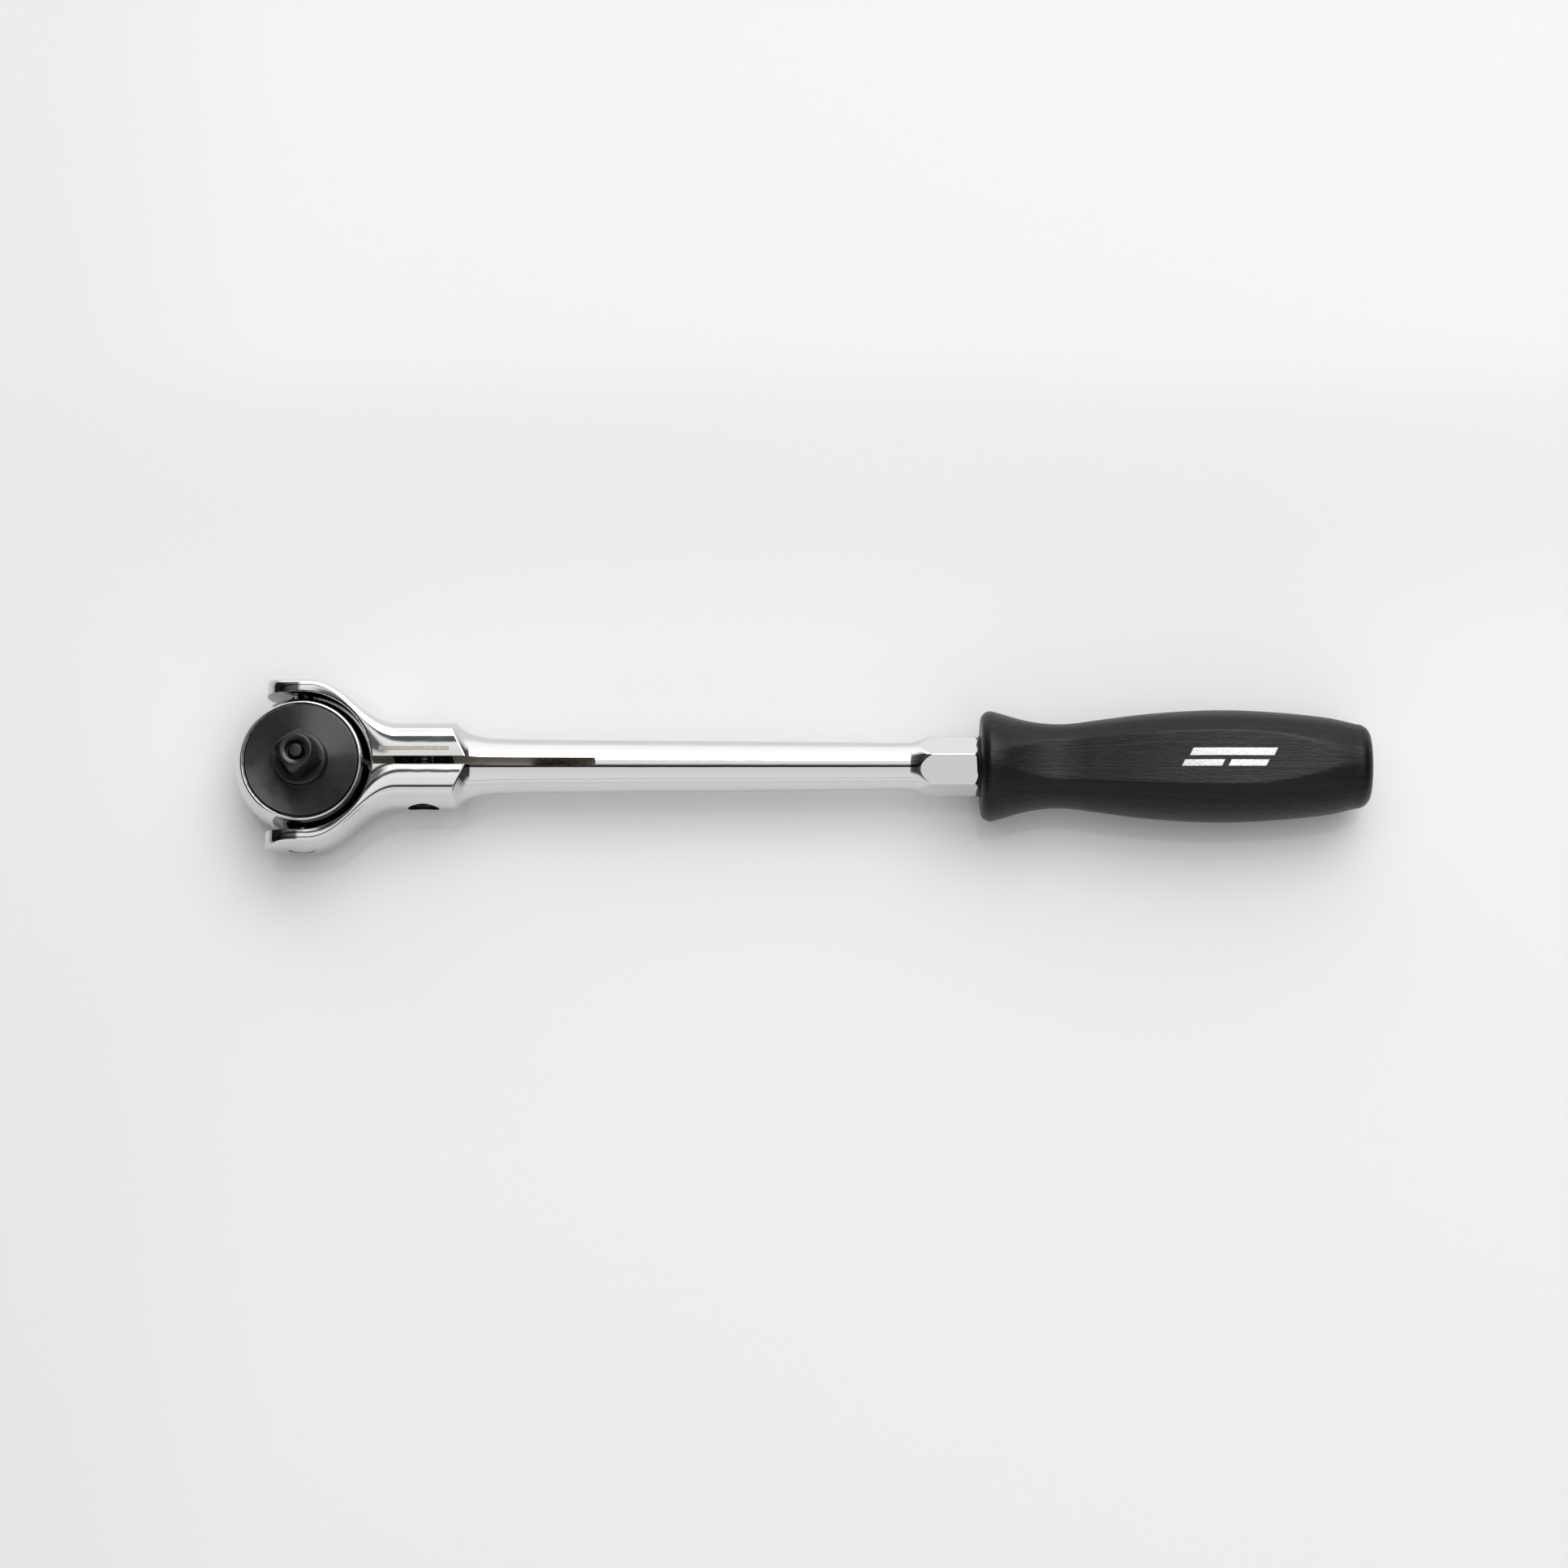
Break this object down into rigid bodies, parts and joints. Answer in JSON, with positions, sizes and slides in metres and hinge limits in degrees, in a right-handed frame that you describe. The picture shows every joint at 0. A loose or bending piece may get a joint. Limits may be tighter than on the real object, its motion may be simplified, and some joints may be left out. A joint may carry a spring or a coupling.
{
  "type": "swivel head ratchet wrench",
  "caption": "Small square-drive ratchet wrench: round reversing head in a swivelling fork, slim round shaft and a moulded black grip.",
  "frame": {"origin": "middle of the bounding box, on the surface that the tool lies on with its drive square up", "axes": "+X along the tool from the head towards the handle, +Z along the drive square"},
  "size_m": [0.212, 0.0324, 0.0264],
  "materials": {
    "chrome": "polished chrome plate",
    "grip": "satin black moulded plastic with fine lengthways grain",
    "black_oxide": "turned steel, black oxide",
    "spring_steel": "bare spring steel"
  },
  "bodies": {
    "fork": {"fork_shank": "chrome", "handle_grip": "grip", "pivot_pin_left": "chrome", "pivot_pin_right": "chrome", "tension_screw": "black_oxide", "tension_washer": "spring_steel"},
    "head": {"head_housing": "chrome", "retaining_ring": "spring_steel", "wave_washer": "spring_steel"},
    "drive": {"drive_square": "black_oxide", "pawl_pin": "spring_steel", "selector_ring": "spring_steel"},
    "selector": {"selector_dial": "black_oxide", "selector_plunger": "spring_steel", "selector_spring": "spring_steel"},
    "pawl": {"pawl": "black_oxide"},
    "release": {"release_button": "black_oxide", "release_spring": "spring_steel"},
    "ball": {"detent_ball": "spring_steel"}
  },
  "joints": [
    {"name": "head_swivel", "type": "hinge", "parent": "fork", "child": "head", "pos_m": [-0.0933, 0, 0.0103], "axis": [0, 1, 0], "range_deg": [-225, 45]},
    {"name": "drive_spin", "type": "hinge", "parent": "head", "child": "drive", "pos_m": [-0.0933, 0, 0.0103], "axis": [0, 0, 1], "continuous": true},
    {"name": "selector_turn", "type": "hinge", "parent": "drive", "child": "selector", "pos_m": [-0.0933, 0, 0.0103], "axis": [0, 0, 1], "range_deg": [0, 56]},
    {"name": "pawl_rock", "type": "hinge", "parent": "drive", "child": "pawl", "pos_m": [-0.08796, 0.00388, 0.0103], "axis": [0, 0, 1], "range_deg": [-10.1, 0]},
    {"name": "release_push", "type": "slide", "parent": "drive", "child": "release", "axis": [0, 0, 1], "range_m": [0, 0.0015], "stiffness_N_per_m": 1500, "springref_m": -0.001, "deforming": ["release_spring"]},
    {"name": "ball_retract", "type": "slide", "parent": "drive", "child": "ball", "axis": [0.5878, -0.809, 0], "range_m": [0, 0.00046]}
  ],
  "couplings": [
    {"joint": "pawl_rock", "follows": "selector_turn", "ratio": -0.17857},
    {"joint": "ball_retract", "follows": "release_push", "ratio": 0.3}
  ]
}
